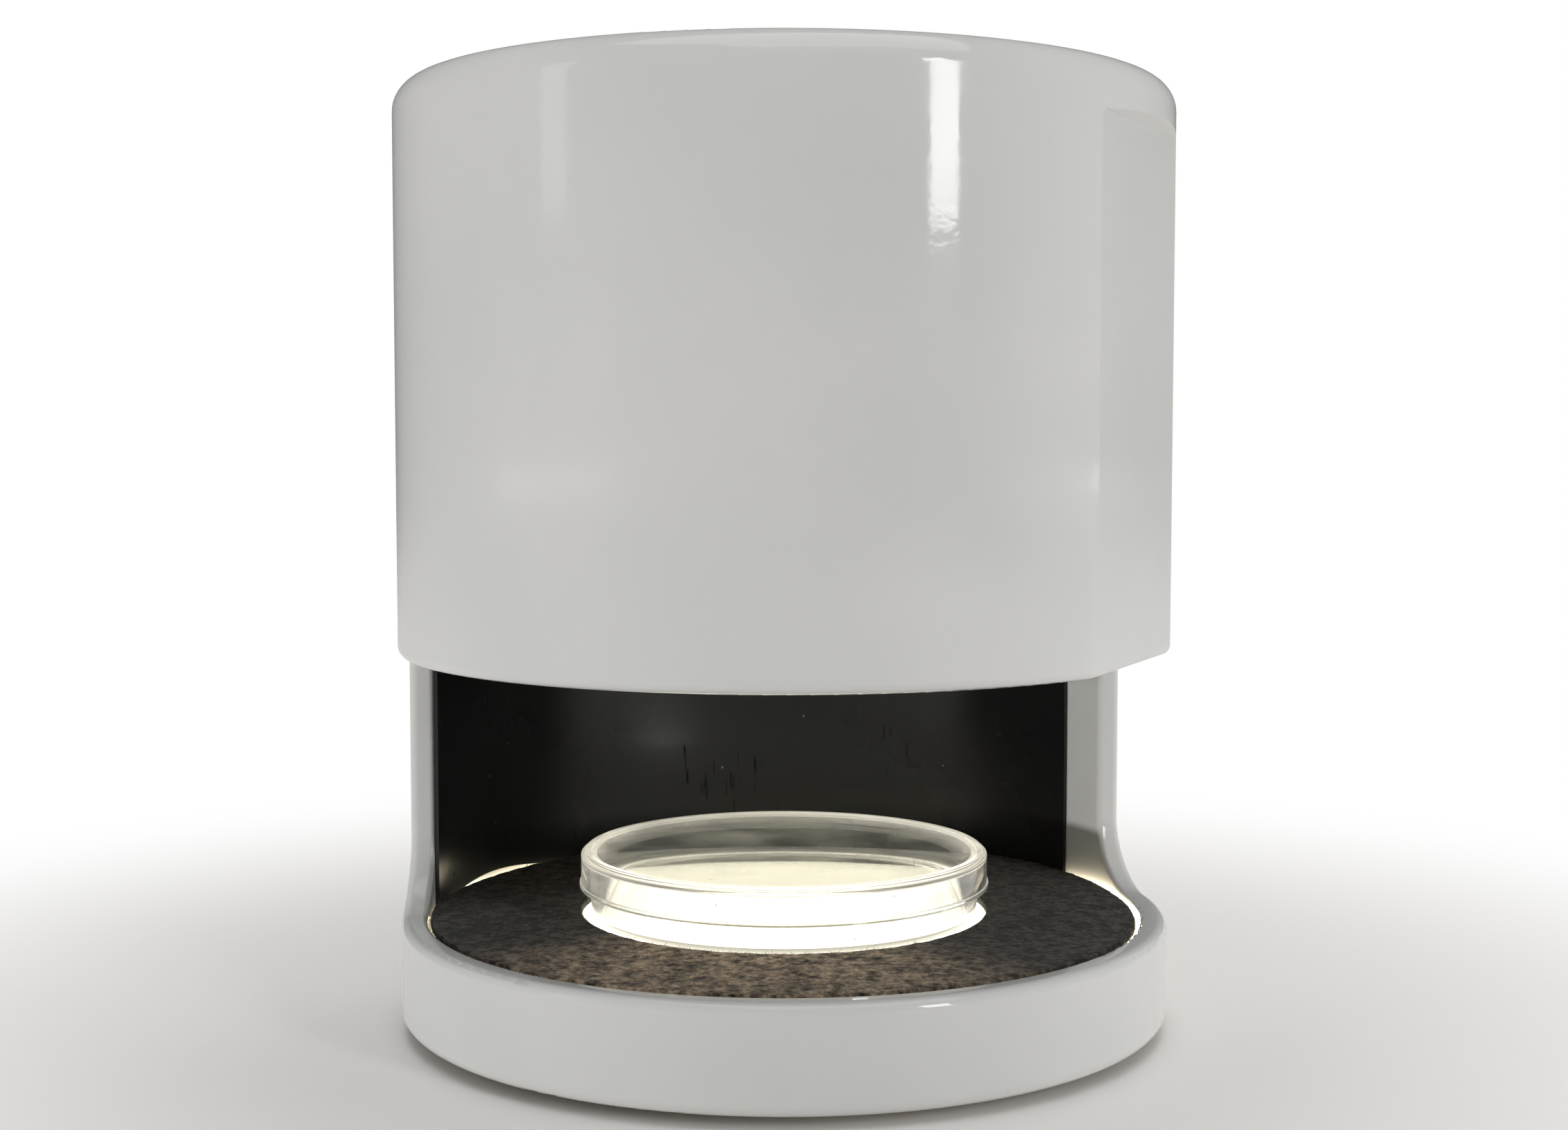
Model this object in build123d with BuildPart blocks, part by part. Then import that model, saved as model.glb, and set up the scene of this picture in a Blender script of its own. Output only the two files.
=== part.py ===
"""Colony counter: a closed imaging drum with a wraparound window, a backlit felt stage and a petri dish.

Frame: millimetres, +Z up, the drum's axis on Z, the bench at z = 0, the window's middle facing -Y.
Bearings are degrees round the drum from the window's middle (-Y), positive towards +X.
"""
import os
from math import cos, radians, sin, sqrt, tan

from build123d import *

os.makedirs("parts", exist_ok=True)

# ---- Driving dimensions ------------------------------------------------------------------------

# Drum housing
drum_radius = 88.0
wall = 6.0
housing_height = 210.7
top_thickness = 5.0
top_edge_radius = 7.0
foot_edge_radius = 3.0
foot_gap = 2.5  # daylight between the housing's lower edge and the bench
hood_step = 3.5  # how much thicker the wall is above the baffle

# Window
sill_height = 23.0  # above the housing's lower edge
window_height = 60.0
window_half_angle = 101.4
window_lower_corner = 16.0
window_upper_corner = 5.0
window_outer_round = 2.4
window_inner_round = 1.2
edge_tolerance = 0.01  # for telling the window's edges from the others

# Flat on the right front of the hood, under its small ledge
flat_bearing = 55.7
flat_half_angle = 17.4
flat_wall = 4.5  # wall left behind the flat
flat_skin = 0.5  # how far inside the flat's face the made-up wall stops
backing_round = 12.0  # where the made-up wall runs into the round one
ledge_drop = 12.2  # below the housing's top
ledge_rake = 18.0  # degrees by which the ledge's underside rises outwards
flat_corner = 1.0

# Bottom closure
base_plate_thickness = 3.0
base_plate_proud = 0.5  # how far the plate stands below the housing's edge
plate_clearance = 0.3
foot_radius = 7.0
foot_recess = 0.8
foot_inset = 18.0  # the feet's centres, in from the housing's inner wall
boss_radius = 4.5
base_boss_inset = 6.0
base_boss_height = 10.5

# Screws
screw_radius = 1.5
screw_head_radius = 2.8
screw_length = 8.0
screw_clearance = 0.2
small_screw_radius = 1.0
small_screw_head_radius = 1.9
small_screw_length = 5.0

# Stage
stage_plate_thickness = 5.0
stage_gap = 1.7  # light gap between the stage plate and the housing wall
felt_thickness = 1.5
felt_gap = 1.4  # between the felt's edge and the housing wall
light_radius = 48.2  # bright circle inside the felt
diffuser_thickness = 3.0
diffuser_overlap = 4.0  # how far the diffuser reaches under the felt
diffuser_lip = 3.0  # width of the step that carries the diffuser
drop_in_clearance = 0.2
pillar_radius = 3.5
pillar_inset = 14.0
pillar_bearing = 35.0

# Lining sheet
lining_thickness = 0.8
lining_clearance = 0.2
lining_end_bearing = 111.5  # the cut edge on the right
lining_top_gap = 0.3

# Backlight
board_thickness = 1.6
backlight_radius = 46.0
backlight_post_inset = 5.0
post_radius = 2.5
led_length = 3.5
led_width = 2.8
led_height = 1.0
led_ring_step = 11.0
led_ring_count = 3
led_count_step = 6  # lamps on the first ring, and more on each ring after it

# Baffle and ring light
baffle_height = 31.5  # above the window's upper edge
baffle_thickness = 3.0
lens_hole_radius = 17.0
hood_boss_inset = 9.0
hood_boss_height = 14.0
ring_board_inner = 22.0
ring_board_outer = 36.0
ring_spacer_height = 2.5
ring_spacer_ring = 33.0
ring_led_ring = 28.0
ring_led_count = 24
ring_diffuser_wall = 1.5
ring_diffuser_height = 11.0
ring_diffuser_clearance = 0.2

# Camera
camera_board_side = 38.0
camera_post_height = 10.0
camera_post_inset = 3.5
sensor_side = 9.0
sensor_height = 1.2
sensor_room = 1.3  # free height under the sensor, inside the lens mount
lens_mount_side = 18.0
lens_mount_base = 4.0
lens_mount_wall = 2.5
lens_mount_tube_radius = 9.0
lens_mount_tube_length = 6.0
barrel_radius = 7.0
barrel_length = 23.0
barrel_bore = 5.5
barrel_fit = 0.05
focus_ring_radius = 11.0
focus_ring_length = 7.0
focus_ring_fit = 0.1
focus_ring_gap = 0.3
focus_grip_count = 20
focus_grip_width = 1.6
focus_grip_depth = 0.7
front_rim_radius = 8.6
front_rim_length = 3.0
front_lens_thickness = 2.0
front_lens_dome = 1.6

# Rear connectors
bay_width = 54.0
bay_height = 12.0
bay_corner = 2.5
panel_width = 60.0
panel_thickness = 1.6
panel_seat_gap = 0.3
controller_width = 66.0
controller_depth = 23.0
controller_standoff = 2.0
controller_post_inset = 4.0
chip_side = 8.0
chip_margin = 1.0  # between the chips and the board's front edge
chip_height = 1.4
board_gap = 0.4  # between the controller's chips and the backlight board above them
jack_x = -16.0
jack_width = 9.0
jack_depth = 12.0
jack_height = 9.2
jack_collar_radius = 3.9
jack_bore = 3.1
jack_bore_depth = 9.0
jack_pin_radius = 1.0
usb_x = 0.0
usb_width = 9.0
usb_height = 3.2
usb_depth = 7.4
usb_wall = 0.4
usb_tongue_width = 6.6
usb_tongue_height = 0.7
button_x = 16.0
button_radius = 4.2
button_travel = 1.5
button_proud = 2.5
button_stem = 1.8
button_stem_length = 6.0
button_fit = 0.25
button_bevel = 0.6
switch_side = 9.0
switch_depth = 9.0
switch_gap = 0.3
port_clearance = 0.25

# Camera ribbon and its groove in the back wall
ribbon_bearing = 155.0
ribbon_width = 7.0
ribbon_thickness = 0.6
ribbon_bend = 3.0
groove_width = 9.0
groove_depth = 2.6
groove_margin = 3.0  # groove length beyond the ribbon at each end
socket_length = 9.0
socket_width = 4.0
socket_height = 2.6
lower_socket_inset = 18.0  # from the housing's inner wall
upper_socket_radius = 12.0

# Petri dish
lid_radius = 47.4
lid_height = 7.6
lid_wall = 1.1
lid_bead_inset = 0.9
lid_bead_width = 1.5
lid_bead_height = 0.8
lid_bead_bevel = 0.3
lid_lip = 0.4
lid_lip_height = 1.1
dish_radius = 45.2
dish_floor_radius = 44.7
dish_height = 13.4
dish_wall = 1.2
dish_floor = 1.2
dish_foot = 0.5
dish_foot_width = 2.0
seat_gap = 0.1  # under the dish, and between its rim and the lid

# ---- Levels and places worked out from them ----------------------------------------------------

housing_bottom = foot_gap
housing_top = housing_bottom + housing_height
sill_z = housing_bottom + sill_height
lintel_z = sill_z + window_height
inner_radius = drum_radius - wall
hood_inner_radius = inner_radius - hood_step
base_boss_ring = inner_radius - base_boss_inset
hood_boss_ring = inner_radius - hood_boss_inset

plate_bottom = housing_bottom - base_plate_proud
plate_top = plate_bottom + base_plate_thickness

stage_top = sill_z - felt_thickness
stage_bottom = stage_top - stage_plate_thickness
diffuser_radius = light_radius + diffuser_overlap

baffle_bottom = lintel_z + baffle_height
baffle_top = baffle_bottom + baffle_thickness

flat_distance = drum_radius * cos(radians(flat_half_angle))
flat_half_width = drum_radius * sin(radians(flat_half_angle))
ledge_z = housing_top - ledge_drop


ring_board_bottom = baffle_bottom - ring_spacer_height - board_thickness

camera_board_bottom = baffle_top + camera_post_height
camera_board_top = camera_board_bottom + board_thickness
lens_mount_bottom = camera_board_bottom - lens_mount_base - lens_mount_tube_length
barrel_top = camera_board_bottom - sensor_height - sensor_room
barrel_bottom = barrel_top - barrel_length
focus_ring_bottom = barrel_bottom + front_rim_length + focus_ring_gap

controller_bottom = plate_top + controller_standoff
controller_top = controller_bottom + board_thickness
backlight_bottom = controller_top + chip_height + board_gap
backlight_top = backlight_bottom + board_thickness
panel_outer_y = sqrt((inner_radius - panel_seat_gap) ** 2 - (panel_width / 2) ** 2)
panel_inner_y = panel_outer_y - panel_thickness
controller_rear_y = panel_inner_y - drop_in_clearance
controller_middle_y = controller_rear_y - controller_depth / 2
panel_height = stage_bottom - plate_top - plate_clearance
bay_middle_z = plate_top + panel_height / 2
jack_axis_z = controller_top + jack_height / 2
button_axis_z = controller_top + switch_side / 2

switch_rear_y = controller_rear_y - button_travel
button_inner_y = switch_rear_y + button_travel + switch_gap
button_outer_y = panel_outer_y + button_proud

ribbon_radius = inner_radius + groove_depth / 2
lower_socket_radius = inner_radius - lower_socket_inset
ribbon_low_z = controller_top + socket_height / 2
ribbon_high_z = camera_board_top + socket_height / 2

dish_bottom = stage_top + seat_gap
dish_top = dish_bottom + dish_height
lid_under = dish_top + seat_gap
lid_top = lid_under + lid_wall
lid_bottom = lid_top - lid_height


# ---- Helpers -----------------------------------------------------------------------------------


def base_bosses():
    return PolarLocations(base_boss_ring, 4, start_angle=45)


def hood_bosses():
    return PolarLocations(hood_boss_ring, 4, start_angle=45)


def feet():
    return PolarLocations(inner_radius - foot_inset, 4, start_angle=0)


def pillars():
    pillar_x, pillar_y = on_bearing(180 - pillar_bearing, inner_radius - pillar_inset)
    return GridLocations(2 * pillar_x, 2 * pillar_y, 2, 2)


def backlight_posts():
    return PolarLocations(backlight_radius - backlight_post_inset, 4, start_angle=45)


def ring_spacers():
    return PolarLocations(ring_spacer_ring, 3, start_angle=90)


def camera_posts():
    spacing = camera_board_side - 2 * camera_post_inset
    return GridLocations(spacing, spacing, 2, 2)


def controller_posts():
    width = controller_width - 2 * controller_post_inset
    depth = controller_depth - 2 * controller_post_inset
    return GridLocations(width, depth, 2, 2)


def on_bearing(bearing, radius):
    """The point at this radius on a bearing from the window's middle."""
    return (radius * sin(radians(bearing)), -radius * cos(radians(bearing)))


def radial_plane(bearing, z=0.0):
    """An upright plane through the drum's axis: local X runs outwards, local Y runs up."""
    out_x, out_y = on_bearing(bearing, 1.0)
    return Plane(origin=(0, 0, z), x_dir=(out_x, out_y, 0), z_dir=(out_y, -out_x, 0))


def drum_plane(z):
    """A level plane on which circles start and end at the back, clear of the window's corners."""
    return Plane(origin=(0, 0, z), x_dir=(0, 1, 0))


def flatted_circle(radius, distance):
    """Draws a circle in the current sketch, cut straight on the flat's bearing at this distance."""
    Circle(radius)
    with Locations(on_bearing(flat_bearing, distance + radius)):
        Rectangle(2 * radius, 2 * radius, rotation=flat_bearing, mode=Mode.SUBTRACT)


def rear_plane(y):
    """An upright plane that faces backwards at this depth: local X is -X, local Y is up."""
    return Plane(origin=(0, y, 0), x_dir=(-1, 0, 0), z_dir=(0, 1, 0))


def runs_round(edge, low, high):
    """True for an edge that stays between two radii."""
    radii = [sqrt(point.X**2 + point.Y**2) for point in (edge @ 0, edge @ 0.5, edge @ 1)]
    return low < min(radii) and max(radii) < high


def in_window(edge):
    """True for an edge that lies between the sill and the window's upper edge."""
    box = edge.bounding_box()
    return box.min.Z > sill_z - edge_tolerance and box.max.Z < lintel_z + edge_tolerance


def screw_form(shank, head, length, direction):
    """A countersunk screw with its head flush at z = 0, its shank pointing up (1) or down (-1)."""
    with BuildPart() as screw:
        with BuildSketch(Plane.XZ):
            with BuildLine():
                Polyline(
                    (0, 0),
                    (head, 0),
                    (shank, direction * (head - shank)),
                    (shank, direction * length),
                    (0, direction * length),
                    close=True,
                )
            make_face()
        revolve(axis=Axis.Z)
    return screw.part


def save(part, name):
    """Labels a finished piece and writes its STEP file."""
    part.label = name
    export_step(part, f"parts/{name}.step")


# ---- Screws and the holes that take them -------------------------------------------------------

screw_up = screw_form(screw_radius, screw_head_radius, screw_length, 1)
screw_down = screw_form(screw_radius, screw_head_radius, screw_length, -1)
screw_hole_up = screw_form(
    screw_radius + screw_clearance, screw_head_radius + screw_clearance, screw_length + screw_clearance, 1
)
screw_hole_down = screw_form(
    screw_radius + screw_clearance, screw_head_radius + screw_clearance, screw_length + screw_clearance, -1
)
small_screw_down = screw_form(small_screw_radius, small_screw_head_radius, small_screw_length, -1)
small_screw_hole_down = screw_form(
    small_screw_radius + screw_clearance,
    small_screw_head_radius + screw_clearance,
    small_screw_length + screw_clearance,
    -1,
)

# ---- Housing -----------------------------------------------------------------------------------

# Cutting tool for the wraparound window: radial jambs, its corners large where they meet the sill
with BuildPart() as window_cutter:
    with BuildSketch(Plane.XY.offset(sill_z)):
        with BuildLine():
            start = -90 - window_half_angle
            far_arc = CenterArc((0, 0), 2 * drum_radius, start, 2 * window_half_angle)
            near_arc = CenterArc((0, 0), inner_radius / 2, start, 2 * window_half_angle)
            Line(far_arc @ 0, near_arc @ 0)
            Line(far_arc @ 1, near_arc @ 1)
        make_face()
    extrude(amount=window_height)
    level_edges = window_cutter.edges().filter_by(GeomType.LINE).filter_by(Axis.Z, reverse=True)
    fillet(level_edges.group_by(Axis.Z)[0], window_lower_corner)
    level_edges = window_cutter.edges().filter_by(GeomType.LINE).filter_by(Axis.Z, reverse=True)
    fillet(level_edges.group_by(Axis.Z)[-1], window_upper_corner)

# Cutting tool for the flat: its upper end rises outwards, which rakes the underside of the ledge
with BuildPart() as flat_cutter:
    ledge_rise = wall * tan(radians(ledge_rake))
    with BuildSketch(radial_plane(flat_bearing)):
        with BuildLine():
            Polyline(
                (flat_distance, sill_z),
                (flat_distance, ledge_z),
                (flat_distance + wall, ledge_z + ledge_rise),
                (flat_distance + wall, sill_z),
                close=True,
            )
        make_face()
    extrude(amount=flat_half_width, both=True)
    raked_edges = flat_cutter.edges().filter_by(
        lambda edge: ledge_rise / 2 < abs((edge @ 1).Z - (edge @ 0).Z) < 2 * ledge_rise
    )
    fillet(raked_edges, flat_corner)

with BuildPart() as housing_shell:
    # Outer drum with a soft upper edge and a rounded foot
    with BuildSketch(drum_plane(housing_bottom)):
        Circle(drum_radius)
    extrude(amount=housing_height)
    fillet(housing_shell.edges().group_by(Axis.Z)[-1], top_edge_radius)
    fillet(housing_shell.edges().group_by(Axis.Z)[0], foot_edge_radius)

    # Flat down the hood, ending above in its ledge
    add(flat_cutter.part, mode=Mode.SUBTRACT)

    # The flat stops at the window, so the base ring below stays round
    with BuildSketch(drum_plane(housing_bottom + foot_edge_radius)):
        Circle(drum_radius)
    extrude(amount=sill_height - foot_edge_radius)

    # Chamber with its wall made up behind the flat, then a narrower camera space above the baffle
    with BuildSketch(drum_plane(housing_bottom)):
        Circle(inner_radius)
    extrude(amount=baffle_top - housing_bottom, mode=Mode.SUBTRACT)
    backing_inner = flat_distance - flat_wall
    backing_depth = flat_wall - flat_skin
    backing_half_width = sqrt((inner_radius + wall / 4) ** 2 - backing_inner**2)
    with BuildSketch(Plane.XY.offset(lintel_z)):
        with Locations(on_bearing(flat_bearing, backing_inner + backing_depth / 2)):
            Rectangle(2 * backing_half_width, backing_depth, rotation=flat_bearing)
    extrude(amount=baffle_top - lintel_z)
    backing_corners = housing_shell.edges().filter_by(Axis.Z).filter_by(
        lambda edge: abs(edge.length - baffle_top + lintel_z) < edge_tolerance
    )
    fillet(backing_corners, backing_round)
    with BuildSketch(drum_plane(baffle_top)):
        Circle(hood_inner_radius)
    extrude(amount=housing_top - top_thickness - baffle_top, mode=Mode.SUBTRACT)

    # Wraparound window, cut with the round-cornered tool
    add(window_cutter.part, mode=Mode.SUBTRACT)

    # Soft edges round the whole window, outside and then inside
    outer_edges = housing_shell.edges().filter_by(in_window).filter_by(
        lambda edge: runs_round(edge, inner_radius + wall / 4, drum_radius + 1)
    )
    fillet(outer_edges, window_outer_round)
    inner_edges = housing_shell.edges().filter_by(in_window).filter_by(
        lambda edge: runs_round(edge, inner_radius - wall, inner_radius + edge_tolerance)
    )
    fillet(inner_edges, window_inner_round)

    # Screw bosses: four at the foot for the bottom plate, four in the hood for the baffle
    foot_web = inner_radius + wall / 2 - base_boss_ring
    with BuildSketch(Plane.XY.offset(plate_top)):
        with base_bosses():
            Circle(boss_radius)
            with Locations((foot_web / 2, 0)):
                Rectangle(foot_web, 2 * boss_radius)
    extrude(amount=base_boss_height)
    hood_web = inner_radius - hood_boss_ring
    with BuildSketch(Plane.XY.offset(baffle_top)):
        with hood_bosses():
            Circle(boss_radius)
            with Locations((hood_web / 2, 0)):
                Rectangle(hood_web, 2 * boss_radius)
    extrude(amount=hood_boss_height)
    with Locations((0, 0, plate_bottom)):
        with base_bosses():
            add(screw_hole_up, mode=Mode.SUBTRACT)
    with Locations((0, 0, baffle_bottom)):
        with hood_bosses():
            add(screw_hole_up, mode=Mode.SUBTRACT)

    # Connector bay low in the back
    with BuildSketch(rear_plane(panel_outer_y)):
        with Locations((0, bay_middle_z)):
            RectangleRounded(bay_width, bay_height, bay_corner)
    extrude(amount=drum_radius, mode=Mode.SUBTRACT)

    # Groove for the camera ribbon, from the base chamber up into the camera space
    groove_outer = inner_radius + groove_depth
    groove_inner = hood_inner_radius - groove_depth
    groove_bottom = ribbon_low_z - groove_margin
    with BuildSketch(Plane.XY.offset(groove_bottom)):
        with Locations(on_bearing(ribbon_bearing, (groove_outer + groove_inner) / 2)):
            Rectangle(groove_outer - groove_inner, groove_width, rotation=ribbon_bearing - 90)
    extrude(amount=ribbon_high_z + groove_margin - groove_bottom, mode=Mode.SUBTRACT)
save(housing_shell.part, "housing_shell")

# ---- Bottom closure ----------------------------------------------------------------------------

with BuildPart() as base_plate:
    with BuildSketch(Plane.XY.offset(plate_bottom)):
        Circle(inner_radius - plate_clearance)
    extrude(amount=base_plate_thickness)
    with Locations((0, 0, plate_bottom)):
        with base_bosses():
            add(screw_hole_up, mode=Mode.SUBTRACT)
        with pillars():
            add(screw_hole_up, mode=Mode.SUBTRACT)
    # Shallow seats for the feet
    with BuildSketch(Plane.XY.offset(plate_bottom)):
        with feet():
            Circle(foot_radius + plate_clearance)
    extrude(amount=foot_recess, mode=Mode.SUBTRACT)
save(base_plate.part, "base_plate")

with BuildPart() as rubber_feet:
    with BuildSketch():
        with feet():
            Circle(foot_radius)
    extrude(amount=plate_bottom + foot_recess)
    chamfer(rubber_feet.edges().group_by(Axis.Z)[0], foot_recess / 2)
save(rubber_feet.part, "rubber_feet")

with BuildPart() as base_screws:
    with Locations((0, 0, plate_bottom)):
        with base_bosses():
            add(screw_up)
save(base_screws.part, "base_screws")

with BuildPart() as pillar_screws:
    with Locations((0, 0, plate_bottom)):
        with pillars():
            add(screw_up)
save(pillar_screws.part, "pillar_screws")

# ---- Backlight ---------------------------------------------------------------------------------

with BuildPart() as backlight_standoffs:
    with BuildSketch(Plane.XY.offset(plate_top)):
        with backlight_posts():
            Circle(post_radius)
    extrude(amount=backlight_bottom - plate_top)
save(backlight_standoffs.part, "backlight_standoffs")

with BuildPart() as backlight_board:
    with BuildSketch(Plane.XY.offset(backlight_bottom)):
        Circle(backlight_radius)
    extrude(amount=board_thickness)
save(backlight_board.part, "backlight_board")

with BuildPart() as backlight_leds:
    with BuildSketch(Plane.XY.offset(backlight_top)):
        Rectangle(led_length, led_width)
        for ring in range(1, led_ring_count + 1):
            with PolarLocations(ring * led_ring_step, ring * led_count_step):
                Rectangle(led_length, led_width)
    extrude(amount=led_height)
save(backlight_leds.part, "backlight_leds")

# ---- Stage -------------------------------------------------------------------------------------

with BuildPart() as stage_pillars:
    with BuildSketch(Plane.XY.offset(plate_top)):
        with pillars():
            Circle(pillar_radius)
    extrude(amount=stage_bottom - plate_top)
    with Locations((0, 0, plate_bottom)):
        with pillars():
            add(screw_hole_up, mode=Mode.SUBTRACT)
    with Locations((0, 0, stage_top)):
        with pillars():
            add(screw_hole_down, mode=Mode.SUBTRACT)
save(stage_pillars.part, "stage_pillars")

with BuildPart() as stage_plate:
    with BuildSketch(Plane.XY.offset(stage_bottom)):
        Circle(inner_radius - stage_gap)
        Circle(diffuser_radius - diffuser_lip, mode=Mode.SUBTRACT)
    extrude(amount=stage_plate_thickness)
    # Step that the diffuser drops into
    with BuildSketch(Plane.XY.offset(stage_top)):
        Circle(diffuser_radius + drop_in_clearance)
    extrude(amount=-diffuser_thickness, mode=Mode.SUBTRACT)
    with Locations((0, 0, stage_top)):
        with pillars():
            add(screw_hole_down, mode=Mode.SUBTRACT)
save(stage_plate.part, "stage_plate")

with BuildPart() as stage_screws:
    with Locations((0, 0, stage_top)):
        with pillars():
            add(screw_down)
save(stage_screws.part, "stage_screws")

with BuildPart() as light_diffuser:
    with BuildSketch(Plane.XY.offset(stage_top - diffuser_thickness)):
        Circle(diffuser_radius)
    extrude(amount=diffuser_thickness)
save(light_diffuser.part, "light_diffuser")

with BuildPart() as stage_felt:
    with BuildSketch(Plane.XY.offset(stage_top)):
        Circle(inner_radius - felt_gap)
        Circle(light_radius, mode=Mode.SUBTRACT)
    extrude(amount=felt_thickness)
save(stage_felt.part, "stage_felt")

# ---- Lining: one sheet bent round the back, from the left jamb to its cut edge on the right ------

lining_outer = inner_radius - lining_clearance
lining_inner = lining_outer - lining_thickness
lining_start = lining_end_bearing - 90
lining_sweep = 360 - window_half_angle - lining_end_bearing

with BuildPart() as lining_sheet:
    with BuildSketch(Plane.XY.offset(stage_bottom)):
        with BuildLine():
            outer_arc = CenterArc((0, 0), lining_outer, lining_start, lining_sweep)
            inner_arc = CenterArc((0, 0), lining_inner, lining_start, lining_sweep)
            Line(outer_arc @ 0, inner_arc @ 0)
            Line(outer_arc @ 1, inner_arc @ 1)
        make_face()
    extrude(amount=baffle_bottom - lining_top_gap - stage_bottom)
save(lining_sheet.part, "lining_sheet")

# ---- Baffle and ring light ---------------------------------------------------------------------

with BuildPart() as baffle_plate:
    with BuildSketch(Plane.XY.offset(baffle_bottom)):
        flatted_circle(inner_radius - plate_clearance, flat_distance - flat_wall - plate_clearance)
        Circle(lens_hole_radius, mode=Mode.SUBTRACT)
    extrude(amount=baffle_thickness)
    with Locations((0, 0, baffle_bottom)):
        with hood_bosses():
            add(screw_hole_up, mode=Mode.SUBTRACT)
save(baffle_plate.part, "baffle_plate")

with BuildPart() as baffle_screws:
    with Locations((0, 0, baffle_bottom)):
        with hood_bosses():
            add(screw_up)
save(baffle_screws.part, "baffle_screws")

with BuildPart() as ring_spacer_set:
    with BuildSketch(Plane.XY.offset(baffle_bottom)):
        with ring_spacers():
            Circle(post_radius)
    extrude(amount=-ring_spacer_height)
save(ring_spacer_set.part, "ring_spacers")

with BuildPart() as ring_light_board:
    with BuildSketch(Plane.XY.offset(ring_board_bottom)):
        Circle(ring_board_outer)
        Circle(ring_board_inner, mode=Mode.SUBTRACT)
    extrude(amount=board_thickness)
save(ring_light_board.part, "ring_light_board")

with BuildPart() as ring_leds:
    with BuildSketch(Plane.XY.offset(ring_board_bottom)):
        with PolarLocations(ring_led_ring, ring_led_count):
            Rectangle(led_length, led_width)
    extrude(amount=-led_height)
save(ring_leds.part, "ring_leds")

with BuildPart() as ring_diffuser:
    cover_outer = ring_board_outer + ring_diffuser_clearance + ring_diffuser_wall
    cover_inner = ring_board_inner - ring_diffuser_clearance - ring_diffuser_wall
    with BuildSketch(Plane.XY.offset(baffle_bottom)):
        Circle(cover_outer)
        Circle(cover_inner, mode=Mode.SUBTRACT)
    extrude(amount=-ring_diffuser_height)
    chamfer(ring_diffuser.edges().group_by(Axis.Z)[0], ring_diffuser_wall / 2)
    with BuildSketch(Plane.XY.offset(baffle_bottom)):
        Circle(cover_outer - ring_diffuser_wall)
        Circle(cover_inner + ring_diffuser_wall, mode=Mode.SUBTRACT)
    extrude(amount=ring_diffuser_wall - ring_diffuser_height, mode=Mode.SUBTRACT)
save(ring_diffuser.part, "ring_diffuser")

# ---- Camera ------------------------------------------------------------------------------------

with BuildPart() as camera_post_set:
    with BuildSketch(Plane.XY.offset(baffle_top)):
        with camera_posts():
            Circle(post_radius)
    extrude(amount=camera_post_height)
    with Locations((0, 0, camera_board_top)):
        with camera_posts():
            add(small_screw_hole_down, mode=Mode.SUBTRACT)
save(camera_post_set.part, "camera_posts")

with BuildPart() as camera_board:
    with BuildSketch(Plane.XY.offset(camera_board_bottom)):
        RectangleRounded(camera_board_side, camera_board_side, camera_post_inset / 2)
    extrude(amount=board_thickness)
    with Locations((0, 0, camera_board_top)):
        with camera_posts():
            add(small_screw_hole_down, mode=Mode.SUBTRACT)
save(camera_board.part, "camera_board")

with BuildPart() as camera_screws:
    with Locations((0, 0, camera_board_top)):
        with camera_posts():
            add(small_screw_down)
save(camera_screws.part, "camera_screws")

with BuildPart() as image_sensor:
    with BuildSketch(Plane.XY.offset(camera_board_bottom)):
        Rectangle(sensor_side, sensor_side)
    extrude(amount=-sensor_height)
save(image_sensor.part, "image_sensor")

with BuildPart() as lens_mount:
    with BuildSketch(Plane.XY.offset(camera_board_bottom)):
        RectangleRounded(lens_mount_side, lens_mount_side, lens_mount_wall)
    extrude(amount=-lens_mount_base)
    with BuildSketch(Plane.XY.offset(camera_board_bottom - lens_mount_base)):
        Circle(lens_mount_tube_radius)
    extrude(amount=-lens_mount_tube_length)
    # Room for the sensor, then the bore that the barrel screws into
    sensor_cavity = lens_mount_side - 2 * lens_mount_wall
    with BuildSketch(Plane.XY.offset(camera_board_bottom)):
        Rectangle(sensor_cavity, sensor_cavity)
    extrude(amount=-(sensor_height + sensor_room), mode=Mode.SUBTRACT)
    with BuildSketch(Plane.XY.offset(camera_board_bottom)):
        Circle(barrel_radius + barrel_fit)
    extrude(amount=lens_mount_bottom - camera_board_bottom, mode=Mode.SUBTRACT)
save(lens_mount.part, "lens_mount")

with BuildPart() as lens_barrel:
    with BuildSketch(Plane.XY.offset(barrel_bottom)):
        Circle(barrel_radius)
    extrude(amount=barrel_length)
    with BuildSketch(Plane.XY.offset(barrel_bottom)):
        Circle(front_rim_radius)
    extrude(amount=front_rim_length)
    chamfer(lens_barrel.edges().group_by(Axis.Z)[0], front_rim_length / 4)
    with BuildSketch(Plane.XY.offset(barrel_bottom)):
        Circle(barrel_bore)
    extrude(amount=barrel_length, mode=Mode.SUBTRACT)
save(lens_barrel.part, "lens_barrel")

with BuildPart() as front_lens:
    glass_radius = barrel_bore - barrel_fit
    glass_bottom = barrel_bottom + front_rim_length / 2
    with BuildSketch(Plane.XZ):
        with BuildLine():
            dome = ThreePointArc(
                (-glass_radius, glass_bottom),
                (0, glass_bottom - front_lens_dome),
                (glass_radius, glass_bottom),
            )
            Polyline(
                dome @ 1,
                (glass_radius, glass_bottom + front_lens_thickness),
                (-glass_radius, glass_bottom + front_lens_thickness),
                dome @ 0,
            )
        make_face()
        split(bisect_by=Plane.YZ, keep=Keep.TOP)
    revolve(axis=Axis.Z)
save(front_lens.part, "front_lens")

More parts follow.
